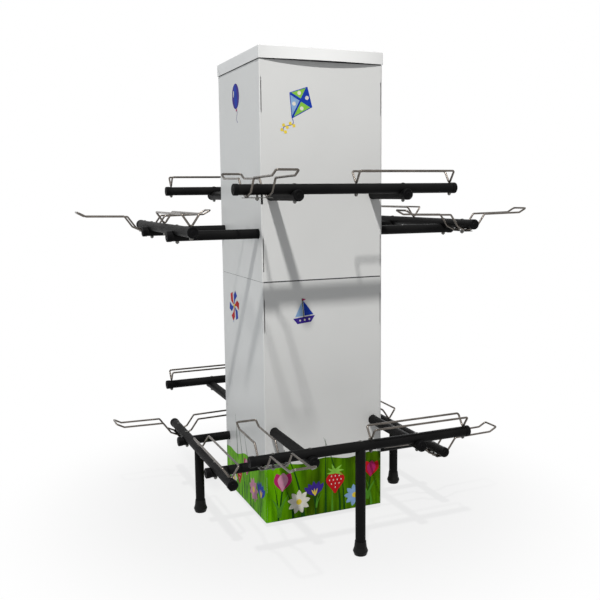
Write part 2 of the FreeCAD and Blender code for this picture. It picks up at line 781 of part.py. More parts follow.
def bar_fasteners():
    """The bolts through the bars and the plates under the rests.

    The placed nuts are handed back: those of the bolts and those of the troughs' studs.
    """
    radius = size("tube_diameter") / 2
    wire = size("wire_diameter")
    grip = size("nut_height") + size("thread_out")
    under_arm = radius + size("bar_rise")
    under_rest = radius + wire + size("plate_thickness")
    half = size("trough_length") / 2
    arm = size("arm_spacing") / 2
    arm_bolt = bolt_shape(radius + under_arm + grip)
    rest_bolt = bolt_shape(radius + under_rest + grip)
    in_leg = size("leg_plate_depth") + size("leg_plate") + size("thread_out")
    leg_bolt = bolt_shape(2 * radius + in_leg)
    # place along the bar, depth of the nut's seat below the bar's axis, and the bolt
    seats = [(x, under_arm, arm_bolt) for x in (-arm, arm)]
    seats += [(x, radius, None) for x in (trough_middle() - half, trough_middle() + half)]
    seats.append((rest_middle(), under_rest, rest_bolt))

    plate = Part.makeBox(size("plate_length"), size("plate_width"), size("plate_thickness"))
    plate.translate(Vector(-size("plate_length") / 2, -size("plate_width") / 2, 0))
    hole = size("bolt_diameter") / 2 + size("bolt_clearance")
    plate = plate.cut(Part.makeCylinder(hole, size("plate_thickness")))

    nut = nut_shape()
    bolts = []
    plates = []
    nuts = []
    for level in LEVELS:
        for face in FACES:
            row = row_of(face, level)
            out = -size(f"{row}_reach")
            axis = size(f"{row}_height") + size("bar_rise")
            for x, seat, bolt in seats:
                nuts.append((nut, turned(face, x, out, axis - seat)))
                if bolt:
                    bolts.append((bolt, turned(face, x, out, axis + radius)))
            if level == "lower":
                bolts.append((leg_bolt, turned(face, -size("leg_offset"), out, axis + radius)))
            plates.append((plate, turned(face, rest_middle(), out, axis - under_rest)))
    keep_group("bar_bolts", bolts)
    keep_group("rest_clamp_plates", plates)
    return nuts


def post_fasteners():
    """The U-bolts that hold each arm against two posts. The placed nuts are handed back."""
    radius = size("tube_diameter") / 2 + size("fit_clearance")
    arm = size("arm_spacing") / 2
    post = arm - radius - size("frame_tube") / 2
    spread = radius + size("bolt_diameter") / 2
    nut = nut_shape()
    u_bolt = u_bolt_shape()
    u_bolts = []
    nuts = []
    for level in LEVELS:
        for face in ("front", "left"):
            high = size(f"{row_of(face, level)}_height")
            for side in (-1, 1):
                outward = Placement(Vector(), Rotation(Vector(0, 0, 1), 0 if side > 0 else 180))
                inward = Placement(Vector(), Rotation(Vector(0, 1, 0), side * 90))
                inner = side * (post - size("frame_tube") / 2)
                for y in (-post, post):
                    u_bolts.append((u_bolt, turned(face, side * arm, y, high).multiply(outward)))
                    for leg in (-spread, spread):
                        nuts.append((nut, turned(face, inner, y, high + leg).multiply(inward)))
    keep_group("arm_u_bolts", u_bolts)
    return nuts


def make_post_fittings():
    """Spigots that line up the posts at the seam, and glides under the lower posts."""
    post = (size("arm_spacing") - size("tube_diameter") - size("frame_tube")) / 2 - size("fit_clearance")
    across = size("frame_tube") - 2 * size("frame_wall") - 2 * size("fit_clearance")
    corner = Vector(-across / 2, -across / 2, 0)
    spigot = Part.makeBox(across, across, size("spigot_length"), corner)
    pad_disc = Part.makeCylinder(size("glide_diameter") / 2, size("floor_gap"))
    plug = Part.makeBox(across, across, size("glide_plug"), corner + Vector(0, 0, size("floor_gap")))
    glide = pad_disc.fuse(plug).removeSplitter()
    low = size("seam_height") - size("spigot_length") / 2
    spots = [(x, y) for x in (-post, post) for y in (-post, post)]
    keep_group("post_spigots", [(spigot, Placement(Vector(x, y, low), Rotation())) for x, y in spots])
    keep_group("base_glides", [(glide, Placement(Vector(x, y, 0), Rotation())) for x, y in spots])


def write_parts():
    """Checks every object and writes one file for each piece."""
    doc.recompute()
    failed = [thing.Label for thing in doc.Objects if {"Invalid", "Error"} & set(thing.State)]
    for thing, solids in nodes:
        shape = thing.Shape
        if shape.isNull() or not shape.isValid() or len(shape.Solids) != solids or shape.Volume <= 0:
            failed.append(thing.Label)
    if failed:
        raise RuntimeError("these pieces failed: " + ", ".join(failed))
    os.makedirs("parts", exist_ok=True)
    for thing, solids in nodes:
        thing.Shape.exportStep(f"parts/{thing.Label}.step")
    print(len(nodes), "pieces written")


make_cap()
for level in LEVELS:
    make_frame(level)
    for face in FACES:
        make_panel(face, level)
        make_bar(face, level)
    for direction in ("through", "cross"):
        for side in ("", "-"):
            make_arm(level, direction, side)
trough = trough_shape()
rest = rest_shape()
for level in LEVELS:
    for face in FACES:
        row = row_of(face, level)
        on_bar = turned(face, 0, -size(f"{row}_reach"), size(f"{row}_height") + size("bar_rise"))
        keep_shape(f"{level}_{face}_wheel_trough", trough.copy(), on_bar)
        keep_shape(f"{level}_{face}_stabiliser_rest", rest.copy(), on_bar)
for face in FACES:
    make_leg(face)
    make_foot(face)
make_end_caps()
keep_group("hex_nuts", bar_fasteners() + post_fasteners())
make_post_fittings()
write_parts()
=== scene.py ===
import json
import math
import random

import bmesh
import bpy
from mathutils import Matrix, Vector


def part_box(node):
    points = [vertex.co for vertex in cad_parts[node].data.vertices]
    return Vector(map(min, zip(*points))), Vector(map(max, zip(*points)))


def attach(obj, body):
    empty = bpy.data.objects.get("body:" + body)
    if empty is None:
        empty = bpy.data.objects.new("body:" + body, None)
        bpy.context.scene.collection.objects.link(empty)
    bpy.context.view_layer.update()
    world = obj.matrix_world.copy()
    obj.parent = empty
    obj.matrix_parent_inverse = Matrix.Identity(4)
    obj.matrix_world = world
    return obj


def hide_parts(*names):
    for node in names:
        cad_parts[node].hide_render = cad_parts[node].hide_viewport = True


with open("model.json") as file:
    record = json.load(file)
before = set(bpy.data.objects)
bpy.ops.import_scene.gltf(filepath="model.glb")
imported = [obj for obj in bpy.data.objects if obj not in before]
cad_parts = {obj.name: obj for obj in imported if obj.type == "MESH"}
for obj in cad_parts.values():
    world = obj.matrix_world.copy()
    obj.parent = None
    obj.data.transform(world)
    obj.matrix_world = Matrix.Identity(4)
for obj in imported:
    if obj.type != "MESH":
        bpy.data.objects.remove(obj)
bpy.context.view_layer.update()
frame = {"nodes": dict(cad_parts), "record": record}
record = frame["record"]

# Each face of the tower is the front face turned about Z: its cosine and sine.
FACES = {"front": (1, 0), "left": (0, -1), "back": (-1, 0), "right": (0, 1)}

# Sizes in metres, read from the solids: half the tower's width, the foot of its panels, the edge of the front
# panel, the lip of the left and right panels on the front and back, and the lower arms on the left and right
panel_low, panel_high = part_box("lower_left_panel")
arm_low, arm_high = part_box("lower_cross_arm_front")
HALF = -panel_low.x
BASE = panel_low.z
FRONT_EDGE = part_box("lower_front_panel")[1].x
LIP = panel_high.x + HALF
SIDE_ARM_Z = (arm_low.z + arm_high.z) / 2
SIDE_ARM_U = -(arm_low.y + arm_high.y) / 2
TUBE_RADIUS = (arm_high.z - arm_low.z) / 2
# The bend of the left and right panels round the tower's corners.
CORNER_RADIUS = 0.004

# The camera, at the photograph's viewing angle
CAMERA_PLACE = Vector((-1.2953, -3.1261, 1.3383))
CAMERA_YAW = math.radians(22.573)
CAMERA_PITCH = math.radians(7.695)
CAMERA_ROLL = math.radians(-0.605)
CAMERA_LENS = 47.574
CAMERA_SENSOR = 36.0

# Light that falls down and to the right on the front face, a cool soft light from the left, and a soft
# light on the right and back faces
KEY_TRAVEL = Vector((0.266, 0.491, -0.845))
KEY_TARGET = Vector((0.0, -0.3, 1.0))
KEY_DISTANCE = 7.0
KEY_SIZE = 0.35
KEY_POWER = 530.0
KEY_COLOUR = (1.0, 0.985, 0.96)
SIDE_PLACE = Vector((-3.2, 0.4, 1.3))
SIDE_SIZE = 3.5
SIDE_POWER = 19.0
SIDE_COLOUR = (0.84, 0.94, 1.0)
REAR_PLACE = Vector((2.6, 2.6, 1.5))
REAR_SIZE = 3.5
REAR_POWER = 30.0
REAR_COLOUR = (0.95, 0.98, 1.0)
FILL_STRENGTH = 0.32
FILL_COLOUR = (0.96, 0.98, 1.0, 1)
WHITE = (1, 1, 1, 1)


# Materials

# The height of the fine bumps at full strength, and how many patches of gloss cross a patch of colour.
BUMP_HEIGHT = 0.0004
GLOSS_PATCHES = 4
# Printed film: its gloss and surface, and the share by which an ink strays from its colour.
FILM_ROUGH = (0.34, 0.46)
FILM_PATCH = 35
FILM_GRAIN = 2500
FILM_BUMP = 0.04
FILM_SPECULAR = 0.02
INK_SPREAD = 0.14
# The meadow's greens, at the dark and the light end of its streaks.
GRASS_SHADE = ((0.018, 0.04, 0.0005), (0.055, 0.115, 0.001))
GRASS_BRIGHT = ((0.10, 0.36, 0.001), (0.18, 0.56, 0.002))
# The share of bright green at the tower's left face, beyond the width in which it fades, and in clumps.
# The green darkens away from the tower's left face, partly as the print's own tone and partly as painted
# shade.
BRIGHT_NEAR = 0.9
BRIGHT_FAR = 0.1
BRIGHT_WIDTH = 0.2
BRIGHT_CLUMP = 0.16
# Patches of gloss on the meadow.
GRASS_PATCH = 90
# Upright streaks and clumps in the meadow: how fine they are, and how they stretch along each axis.
STREAKS = 55
STREAK_STRETCH = (1, 1, 0.1)
STREAK_CONTRAST = 0.16
CLUMPS = 9
CLUMP_STRETCH = (1, 1, 0.5)
CLUMP_CONTRAST = 0.15
# Large thin sheets are never quite flat.
SHEET_WAVES = 4.0
SHEET_WAVE_STRETCH = (1, 1, 0.35)
SHEET_WAVE_DEPTH = 0.004


def start_material(name):
    """A new material with its shader."""
    material = bpy.data.materials.new(name)
    material.use_nodes = True
    tree = material.node_tree
    return material, tree, tree.nodes["Principled BSDF"]


def noise(tree, scale, detail=3.0, stretch=(1, 1, 1)):
    """The value of a noise laid out in metres, with each axis stretched by its own factor."""
    place = tree.nodes.new("ShaderNodeTexCoord")
    mapping = tree.nodes.new("ShaderNodeMapping")
    mapping.inputs["Scale"].default_value = stretch
    texture = tree.nodes.new("ShaderNodeTexNoise")
    texture.inputs["Scale"].default_value = scale
    texture.inputs["Detail"].default_value = detail
    tree.links.new(place.outputs["Object"], mapping.inputs["Vector"])
    tree.links.new(mapping.outputs["Vector"], texture.inputs["Vector"])
    return texture.outputs["Fac"]


def spread(tree, value, low, high, contrast=0.2):
    """Maps the middle of a noise onto a range."""
    node = tree.nodes.new("ShaderNodeMapRange")
    node.inputs["From Min"].default_value = 0.5 - contrast
    node.inputs["From Max"].default_value = 0.5 + contrast
    node.inputs["To Min"].default_value = low
    node.inputs["To Max"].default_value = high
    tree.links.new(value, node.inputs["Value"])
    return node.outputs["Result"]


def mixed(tree, factor, first, second):
    """A colour between two colours, or sockets, by a factor."""
    node = tree.nodes.new("ShaderNodeMix")
    node.data_type = "RGBA"
    tree.links.new(factor, node.inputs["Factor"])
    for socket, colour in (("A", first), ("B", second)):
        target = next(s for s in node.inputs if s.name == socket and s.type == "RGBA")
        if isinstance(colour, tuple):
            target.default_value = (*colour, 1)
        else:
            tree.links.new(colour, target)
    return next(s for s in node.outputs if s.type == "RGBA")


def add_bump(tree, shader, height, strength, distance):
    """A bump on top of the bumps that the shader already has."""
    bump = tree.nodes.new("ShaderNodeBump")
    bump.inputs["Strength"].default_value = strength
    bump.inputs["Distance"].default_value = distance
    tree.links.new(height, bump.inputs["Height"])
    target = shader.inputs["Normal"]
    for link in target.links:
        tree.links.new(link.from_socket, bump.inputs["Normal"])
    tree.links.new(bump.outputs["Normal"], target)


def coated(name, dark, light, rough, patch, grain, bump, metal=0.0, specular=0.5):
    """A surface whose colour and gloss vary in patches, under a fine bump."""
    material, tree, shader = start_material(name)
    factor = spread(tree, noise(tree, patch), 0, 1)
    tree.links.new(mixed(tree, factor, dark, light), shader.inputs["Base Color"])
    gloss = spread(tree, noise(tree, patch * GLOSS_PATCHES, detail=4), *rough)
    tree.links.new(gloss, shader.inputs["Roughness"])
    add_bump(tree, shader, noise(tree, grain, detail=2), bump, BUMP_HEIGHT)
    shader.inputs["Metallic"].default_value = metal
    shader.inputs["Specular IOR Level"].default_value = specular
    return material


def printed(colour, tint):
    """Printed film: one ink, a little uneven, with a gloss."""
    darker = tuple((1 - INK_SPREAD) * part for part in tint)
    lighter = tuple(min(1.0, (1 + INK_SPREAD) * part) for part in tint)
    return coated(f"film_{colour}", darker, lighter, FILM_ROUGH, FILM_PATCH, FILM_GRAIN, FILM_BUMP,
                  specular=FILM_SPECULAR)


def grass_film():
    """Streaks of dark and bright green ink, darker away from the tower's left, partly as painted shade."""
    material, tree, shader = start_material("film_grass")
    streaks = spread(tree, noise(tree, STREAKS, 4, STREAK_STRETCH), 0, 1, STREAK_CONTRAST)
    shade = mixed(tree, streaks, *GRASS_SHADE)
    bright = mixed(tree, streaks, *GRASS_BRIGHT)
    place = tree.nodes.new("ShaderNodeTexCoord")
    axes = tree.nodes.new("ShaderNodeSeparateXYZ")
    tree.links.new(place.outputs["Object"], axes.inputs["Vector"])
    # Partly painted shade: the share of bright green falls away from the left face.
    across = tree.nodes.new("ShaderNodeMapRange")
    across.inputs["From Min"].default_value = -HALF
    across.inputs["From Max"].default_value = BRIGHT_WIDTH - HALF
    across.inputs["To Min"].default_value = BRIGHT_NEAR
    across.inputs["To Max"].default_value = BRIGHT_FAR
    tree.links.new(axes.outputs["X"], across.inputs["Value"])
    clumps = noise(tree, CLUMPS, 2, CLUMP_STRETCH)
    clumps = spread(tree, clumps, -BRIGHT_CLUMP, BRIGHT_CLUMP, CLUMP_CONTRAST)
    share = tree.nodes.new("ShaderNodeMath")
    share.use_clamp = True
    tree.links.new(across.outputs["Result"], share.inputs[0])
    tree.links.new(clumps, share.inputs[1])
    tree.links.new(mixed(tree, share.outputs["Value"], shade, bright), shader.inputs["Base Color"])
    gloss = spread(tree, noise(tree, GRASS_PATCH), *FILM_ROUGH)
    tree.links.new(gloss, shader.inputs["Roughness"])
    shader.inputs["Specular IOR Level"].default_value = FILM_SPECULAR
    add_bump(tree, shader, noise(tree, FILM_GRAIN, detail=2), FILM_BUMP, BUMP_HEIGHT)
    return material


FINISHES = {
    "panel_paint": dict(dark=(0.60, 0.605, 0.60), light=(0.64, 0.645, 0.64), rough=(0.36, 0.46),
                        patch=2.2, grain=900, bump=0.06),
    "cap_paint": dict(dark=(0.63, 0.635, 0.635), light=(0.67, 0.675, 0.675), rough=(0.28, 0.36),
                      patch=3, grain=900, bump=0.06, specular=0.9),
    "frame_paint": dict(dark=(0.03, 0.03, 0.031), light=(0.05, 0.05, 0.052), rough=(0.5, 0.65),
                        patch=8, grain=700, bump=0.1),
    "tube_paint": dict(dark=(0.0047, 0.0047, 0.0049), light=(0.0082, 0.0081, 0.0082), rough=(0.46, 0.56),
                       patch=9, grain=1100, bump=0.1, specular=0.045),
    # The wire's zinc is darkened well below bare zinc, as a painted reflection of dark surroundings.
    "wire_zinc": dict(dark=(0.095, 0.085, 0.075), light=(0.165, 0.147, 0.13), rough=(0.2, 0.3),
                      patch=25, grain=900, bump=0.02, metal=1.0),
    "zinc_hardware": dict(dark=(0.08, 0.08, 0.076), light=(0.15, 0.147, 0.138), rough=(0.22, 0.36),
                          patch=60, grain=1200, bump=0.1, metal=1.0),
    "black_plastic": dict(dark=(0.003, 0.003, 0.0033), light=(0.006, 0.006, 0.0064), rough=(0.42, 0.54),
                          patch=20, grain=1500, bump=0.1, specular=0.045),
    "foot_rubber": dict(dark=(0.004, 0.004, 0.004), light=(0.008, 0.0078, 0.0075), rough=(0.36, 0.5),
                        patch=30, grain=1300, bump=0.15, specular=0.1),
}
MATERIALS = {name: coated(name, **finish) for name, finish in FINISHES.items()}
INKS = {
    "dark_green": (0.010, 0.055, 0.008), "leaf": (0.07, 0.23, 0.02), "lime": (0.22, 0.48, 0.06),
    "red": (0.45, 0.012, 0.015), "magenta": (0.40, 0.02, 0.12), "pink": (0.55, 0.24, 0.36),
    "cream": (0.66, 0.64, 0.57), "sky": (0.22, 0.36, 0.58), "blue": (0.013, 0.045, 0.36),
    "violet": (0.045, 0.025, 0.23), "yellow": (0.72, 0.55, 0.06),
}
FILMS = {colour: printed(colour, tint) for colour, tint in INKS.items()}
FILMS["grass"] = grass_film()
for name in ("panel_paint", "cap_paint"):
    tree = MATERIALS[name].node_tree
    waves = noise(tree, SHEET_WAVES, 1, SHEET_WAVE_STRETCH)
    add_bump(tree, tree.nodes["Principled BSDF"], waves, 1.0, SHEET_WAVE_DEPTH)

for entry in record["subparts"]:
    node = frame["nodes"][entry["node"]]
    for slot in node.material_slots:
        slot.material = MATERIALS[entry["material_slot"]]


# Printed film on the panels

# A shape is a layer, a colour and an outline. An outline is a list of points on a face, in metres: u to the
# right and z up, seen from outside. Each layer of the print lies a little further out than the one below it.
FILM_GAP = 0.00005
FILM_STEP = 0.00011
FILM_THICKNESS = 0.00008
BAND, BLADES, STEM, MOTIF, DETAIL, TOP = range(6)
OVAL_STEPS = 26
STRIP_STEPS = 14
# The share of a layer by which overlapping petals of one colour rise, the last over the first.
FAN_RISE = 0.8


def turned(face, x, y, z):
    """A point of the front face, turned to another face."""
    cosine, sine = FACES[face]
    return cosine * x - sine * y, sine * x + cosine * y, z


def shifted(points, u, z, turn=0.0, scale=1.0):
    """The points turned and scaled about the origin, and then moved."""
    cosine, sine = scale * math.cos(turn), scale * math.sin(turn)
    return [(u + cosine * a - sine * b, z + sine * a + cosine * b) for a, b in points]


def placed(shapes, u, z, turn=0.0, scale=1.0):
    """The shapes with all their outlines turned, scaled and moved."""
    return [(layer, colour, shifted(outline, u, z, turn, scale)) for layer, colour, outline in shapes]


def all_round(count):
    """Equal turns round a full circle."""
    return [2 * math.pi * i / count for i in range(count)]


def oval(wide, high):
    """An ellipse about the origin."""
    return [(wide / 2 * math.cos(angle), high / 2 * math.sin(angle)) for angle in all_round(OVAL_STEPS)]


def strip(line, width):
    """A strip along line(t), t from 0 to 1, as wide as width(t)."""
    nearby = 0.01
    left, right = [], []
    for i in range(STRIP_STEPS + 1):
        t = i / STRIP_STEPS
        (u, z), (before_u, before_z), (after_u, after_z) = line(t), line(t - nearby), line(t + nearby)
        run, rise = after_u - before_u, after_z - before_z
        half = width(t) / 2 / math.hypot(run, rise)
        left.append((u - rise * half, z + run * half))
        right.append((u + rise * half, z - run * half))
    return right + left[::-1]


def blade(height, width, lean):
    """A blade of grass that stands at the origin and bends to one side as it narrows to its tip."""
    tip = 0.06
    taper = 0.8
    return strip(lambda t: (lean * t * abs(t), height * t),
                 lambda t: width * (tip + (1 - tip) * (1 - t) ** taper))


def petal(length, width):
    """A petal that grows up from the origin, widest above its middle."""
    root = 0.12
    rise = 1.35
    return strip(lambda t: (0, length * t),
                 lambda t: width * (root + math.sin(math.pi * t ** rise)) / (1 + root))


def fan(layer, colour, outline, turns):
    """Copies of an outline turned about the origin, each lapping over the one before."""
    step = FAN_RISE / len(turns)
    return [(layer + i * step, colour, shifted(outline, 0, 0, turn)) for i, turn in enumerate(turns)]


# Motifs of the meadow, about the origin and one unit in size

def daisy(colour):
    """A ring of petals round a yellow middle."""
    petals = 9
    shapes = fan(MOTIF, colour, petal(0.5, 0.22), all_round(petals))
    shapes.append((DETAIL + 0.5, "yellow", oval(0.24, 0.24)))
    return shapes


def tulip(colour, inner):
    """A cup of three petals on a stem with two leaves."""
    shapes = [(STEM, "dark_green", strip(lambda t: (0.03 * t, 0.6 * t), lambda t: 0.035))]
    shapes.append((STEM + 0.3, "leaf", blade(0.52, 0.1, 0.2)))
    shapes.append((STEM + 0.6, "leaf", blade(0.42, 0.1, -0.2)))
    cup = fan(MOTIF, colour, petal(0.42, 0.22), (0.38, -0.38))
    cup.append((DETAIL, inner, petal(0.4, 0.24)))
    return shapes + placed(cup, 0.03, 0.58)


def crocus(colour, inner):
    """A fan of narrow petals on a short stem."""
    shapes = [(STEM, "dark_green", strip(lambda t: (0, 0.45 * t), lambda t: 0.05))]
    shapes += fan(STEM + 0.3, "leaf", blade(0.5, 0.06, 0.16), (-0.2, 0.0))
    bloom = fan(MOTIF, colour, petal(0.5, 0.17), (0.75, -0.75, 0.4, -0.4, 0.0))
    bloom += fan(DETAIL, inner, petal(0.26, 0.05), (0.4, -0.4, 0.0))
    return shapes + placed(bloom, 0, 0.42)


def strawberry():
    """A berry with pale seeds under a crown of small leaves."""
    shapes = [(MOTIF, "red", petal(0.8, 0.68))]
    for height, seeds in ((0.2, 1), (0.33, 3), (0.46, 4), (0.59, 3)):
        for i in range(seeds):
            across = 0.14 * (i - (seeds - 1) / 2)
            shapes.append((DETAIL, "cream", shifted(oval(0.035, 0.06), across, height)))
    crown = fan(TOP, "lime", blade(0.3, 0.13, 0.06), (1.3, -1.3, 0.65, -0.65, 1.9, -1.9))
    return shapes + placed(crown, 0, 0.74)


def clover():
    """Three leaves on a bent stem."""
    shapes = [(STEM, "dark_green", strip(lambda t: (0.1 * t * t, 0.6 * t), lambda t: 0.03))]
    leaves = fan(MOTIF, "lime", petal(0.36, 0.32), all_round(3))
    return shapes + placed(leaves, 0.1, 0.62)


# Stickers higher up, about the origin and one unit in size

def kite():
    """A diamond of four panes with dots, and a tail with bows."""
    middle = (0, 0.12)
    corners = [(0, 0.5), (-0.36, 0.12), (0, -0.42), (0.36, 0.12)]
    pane_share = 0.8
    shapes = [(STEM, "blue", corners)]
    for i, colour in enumerate(("lime", "sky", "lime", "blue")):
        pane = [corners[i], corners[(i + 1) % 4], middle]
        u = sum(point[0] for point in pane) / 3
        z = sum(point[1] for point in pane) / 3
        inset = [(u + pane_share * (a - u), z + pane_share * (b - z)) for a, b in pane]
        shapes.append((MOTIF, colour, inset))
        shapes.append((DETAIL, "cream", shifted(oval(0.1, 0.1), u, z)))

    def tail(t):
        return 0.09 * math.sin(6 * t), -0.4 - 0.42 * t

    shapes.append((BLADES, "blue", strip(tail, lambda t: 0.018)))
    for t in (0.35, 0.65, 0.95):
        bow = fan(MOTIF, "yellow", petal(0.1, 0.09), (math.pi / 2, -math.pi / 2))
        shapes += placed(bow, *tail(t))
    return shapes


def balloon():
    """A balloon with a paler stripe and a string."""
    shapes = [(STEM, "violet", shifted(oval(0.6, 0.68), 0, 0.2))]
    shapes.append((MOTIF, "blue", shifted(oval(0.26, 0.66), 0, 0.2)))
    shapes.append((DETAIL, "cream", shifted(oval(0.08, 0.18), -0.16, 0.3, -0.4)))
    shapes.append((MOTIF, "magenta", [(-0.06, -0.2), (0.06, -0.2), (0, -0.11)]))

    def string(t):
        return 0.05 * math.sin(7 * t), -0.18 - 0.34 * t

    shapes.append((STEM, "violet", strip(string, lambda t: 0.016)))
    return shapes


def pinwheel():
    """Six bent vanes in two colours, on a stick."""
    vane = [(0, 0), (0.05, 0.2), (0.2, 0.36), (0.02, 0.46), (-0.1, 0.3)]
    vanes = 6
    shapes = [(BLADES, "sky", strip(lambda t: (0, -0.5 * t), lambda t: 0.04))]
    for i, turn in enumerate(all_round(vanes)):
        colour = "red" if i % 2 else "blue"
        shapes.append((MOTIF + FAN_RISE * i / vanes, colour, shifted(vane, 0, 0, turn)))
    shapes.append((TOP, "yellow", oval(0.13, 0.13)))
    return shapes


def sailboat():
    """A hull with two sails and a pennant."""
    hull = [(-0.42, -0.18), (-0.28, -0.4), (0.26, -0.4), (0.44, -0.18)]
    shapes = [(MOTIF, "violet", hull)]
    shapes.append((STEM, "dark_green", [(-0.015, -0.2), (0.015, -0.2), (0.015, 0.5), (-0.015, 0.5)]))
    shapes.append((MOTIF, "blue", [(0.03, -0.14), (0.38, -0.14), (0.2, 0.16), (0.03, 0.42)]))
    shapes.append((MOTIF, "sky", [(-0.03, -0.14), (-0.03, 0.36), (-0.34, -0.14)]))
    shapes.append((DETAIL, "magenta", [(0.015, 0.4), (0.16, 0.45), (0.015, 0.5)]))
    shapes += [(DETAIL, "cream", shifted(oval(0.07, 0.07), u, -0.29)) for u in (-0.16, 0.02, 0.2)]
    return shapes


# Where each motif stands on a face: its shapes, u, z and size
MEADOW = {
    "front": [(tulip("magenta", "pink"), -0.205, 0.035, 0.19), (daisy("cream"), -0.118, 0.088, 0.1),
              (crocus("violet", "yellow"), -0.04, 0.05, 0.125), (strawberry(), 0.045, 0.1, 0.125),
              (daisy("sky"), 0.135, 0.078, 0.095), (tulip("red", "magenta"), 0.195, 0.05, 0.17)],
    "left": [(crocus("blue", "yellow"), 0.2, 0.045, 0.14), (daisy("pink"), 0.11, 0.11, 0.105),
             (tulip("magenta", "pink"), 0.02, 0.04, 0.18), (strawberry(), -0.075, 0.075, 0.12),
             (daisy("cream"), -0.155, 0.075, 0.09), (clover(), -0.215, 0.04, 0.11)],
}
MEADOW["back"] = MEADOW["front"]
MEADOW["right"] = MEADOW["left"]
# Where each sticker is on a face: its name and shapes, u, z, turn and size
STICKERS = {
    "front": [("kite", kite(), -0.1, 1.675, -0.5, 0.15),
              ("sailboat", sailboat(), -0.09, 0.87, 0.1, 0.11)],
    "left": [("balloon", balloon(), -0.02, 1.7, 0.15, 0.15),
             ("pinwheel", pinwheel(), -0.1, 0.86, -0.2, 0.15)],
}
STICKERS["back"] = STICKERS["front"]
STICKERS["right"] = STICKERS["left"]

# The height of the meadow's upper edge at a face's left and right corner, seen from outside
MEADOW_EDGE = {"front": (0.255, 0.25), "right": (0.25, 0.205), "back": (0.205, 0.195), "left": (0.195, 0.255)}
MEADOW_MARGIN = 0.001
MEADOW_FOOT = BASE + MEADOW_MARGIN
MEADOW_WAVE = 0.007
MEADOW_HALF_WAVES = 5
MEADOW_STEP = 0.01
CORNER_STEPS = 6
# The film is cut away round the arms.
NOTCH_CLEARANCE = 0.003
NOTCH = TUBE_RADIUS + NOTCH_CLEARANCE
NOTCH_STEP = 0.001
# Tall and short blades of grass: how many, how far from the middle of a face, and the ranges of their sizes
TALL_BLADES = 3
TALL_REACH = 0.14
TALL_HEIGHT = (0.28, 0.38)
TALL_WIDTH = (0.009, 0.013)
TALL_LEAN = (-0.09, 0.09)
SHORT_BLADES = 8
SHORT_REACH = 0.235
SHORT_HEIGHT = (0.09, 0.17)
SHORT_WIDTH = (0.007, 0.012)
SHORT_LEAN = (-0.03, 0.03)
# Where a blade stands in its share of the meadow's width.
BLADE_PLACE = (0.2, 0.8)
# The random draws of the film, and how far a flower may lean.
FILM_SEED = 7
FLOWER_LEAN = (-0.12, 0.12)


def finish_print(name, vertices, faces, colours):
    """A print's mesh, with the ink of each face given by its colour, riding on the stand."""
    mesh = bpy.data.meshes.new(name)
    mesh.from_pydata(vertices, [], faces)
    inks = sorted(set(colours))
    for ink in inks:
        mesh.materials.append(FILMS[ink])
    for polygon, colour in zip(mesh.polygons, colours):
        polygon.material_index = inks.index(colour)
    mesh.update()
    piece = bpy.data.objects.new(name, mesh)
    bpy.context.scene.collection.objects.link(piece)
    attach(piece, "stand")


def signed_area(outline):
    """The area inside an outline, below zero where it runs clockwise."""
    pairs = zip(outline, outline[1:] + outline[:1])
    return sum(u0 * z1 - u1 * z0 for (u0, z0), (u1, z1) in pairs) / 2


def make_print(name, face, shapes):
    """Flat shapes on a face, each a thin closed plate at its layer's height."""
    vertices, faces, colours = [], [], []
    for layer, colour, outline in shapes:
        if signed_area(outline) < 0:
            outline = outline[::-1]
        low = FILM_GAP + layer * FILM_STEP
        count = len(outline)
        first = len(vertices)
        for out in (low, low + FILM_THICKNESS):
            vertices += [turned(face, u, -HALF - out, z) for u, z in outline]
        plate = [tuple(reversed(range(count))), tuple(range(count, 2 * count))]
        plate += [(i, (i + 1) % count, count + (i + 1) % count, count + i) for i in range(count)]
        faces += [tuple(first + i for i in corners) for corners in plate]
        colours += [colour] * len(plate)
    finish_print(name, vertices, faces, colours)


def meadow_height(face, u):
    """The height of the meadow's upper edge, which dips round the arms that pass through the film."""
    left, right = MEADOW_EDGE[face]
    share = min(1.0, max(0.0, (u + HALF) / (2 * HALF)))
    eased = share * share * (3 - 2 * share)
    height = left + (right - left) * eased + MEADOW_WAVE * math.sin(MEADOW_HALF_WAVES * math.pi * share)
    beside = abs(abs(u) - SIDE_ARM_U)
    if face in ("left", "right") and beside < NOTCH:
        height = min(height, SIDE_ARM_Z - math.sqrt(NOTCH ** 2 - beside ** 2))
    return height


def meadow_path(face):
    """Points along a panel's outside, each with the way out of the sheet, in the front face's frame."""
    if face in ("front", "back"):
        steps = round(2 * FRONT_EDGE / MEADOW_STEP)
        places = [FRONT_EDGE * (2 * i / steps - 1) for i in range(steps + 1)]
        return [(u, -HALF, 0, -1) for u in places]
    flat = HALF - CORNER_RADIUS
    steps = round(2 * flat / MEADOW_STEP)
    places = {flat * (2 * i / steps - 1) for i in range(steps + 1)}
    notch_steps = round(NOTCH / NOTCH_STEP)
    for side in (-1, 1):
        for i in range(-notch_steps, notch_steps + 1):
            places.add(side * SIDE_ARM_U + NOTCH * i / notch_steps)
    path = [(u, -HALF, 0, -1) for u in sorted(places)]
    bend = []
    for i in range(1, CORNER_STEPS + 1):
        angle = math.pi / 2 * i / CORNER_STEPS
        out_x, out_y = math.sin(angle), -math.cos(angle)
        bend.append((flat + CORNER_RADIUS * out_x, -flat + CORNER_RADIUS * out_y, out_x, out_y))
    bend.append((HALF, LIP - HALF, 1, 0))
    other = [(-x, y, -out_x, out_y) for x, y, out_x, out_y in reversed(bend)]
    return other + path + bend


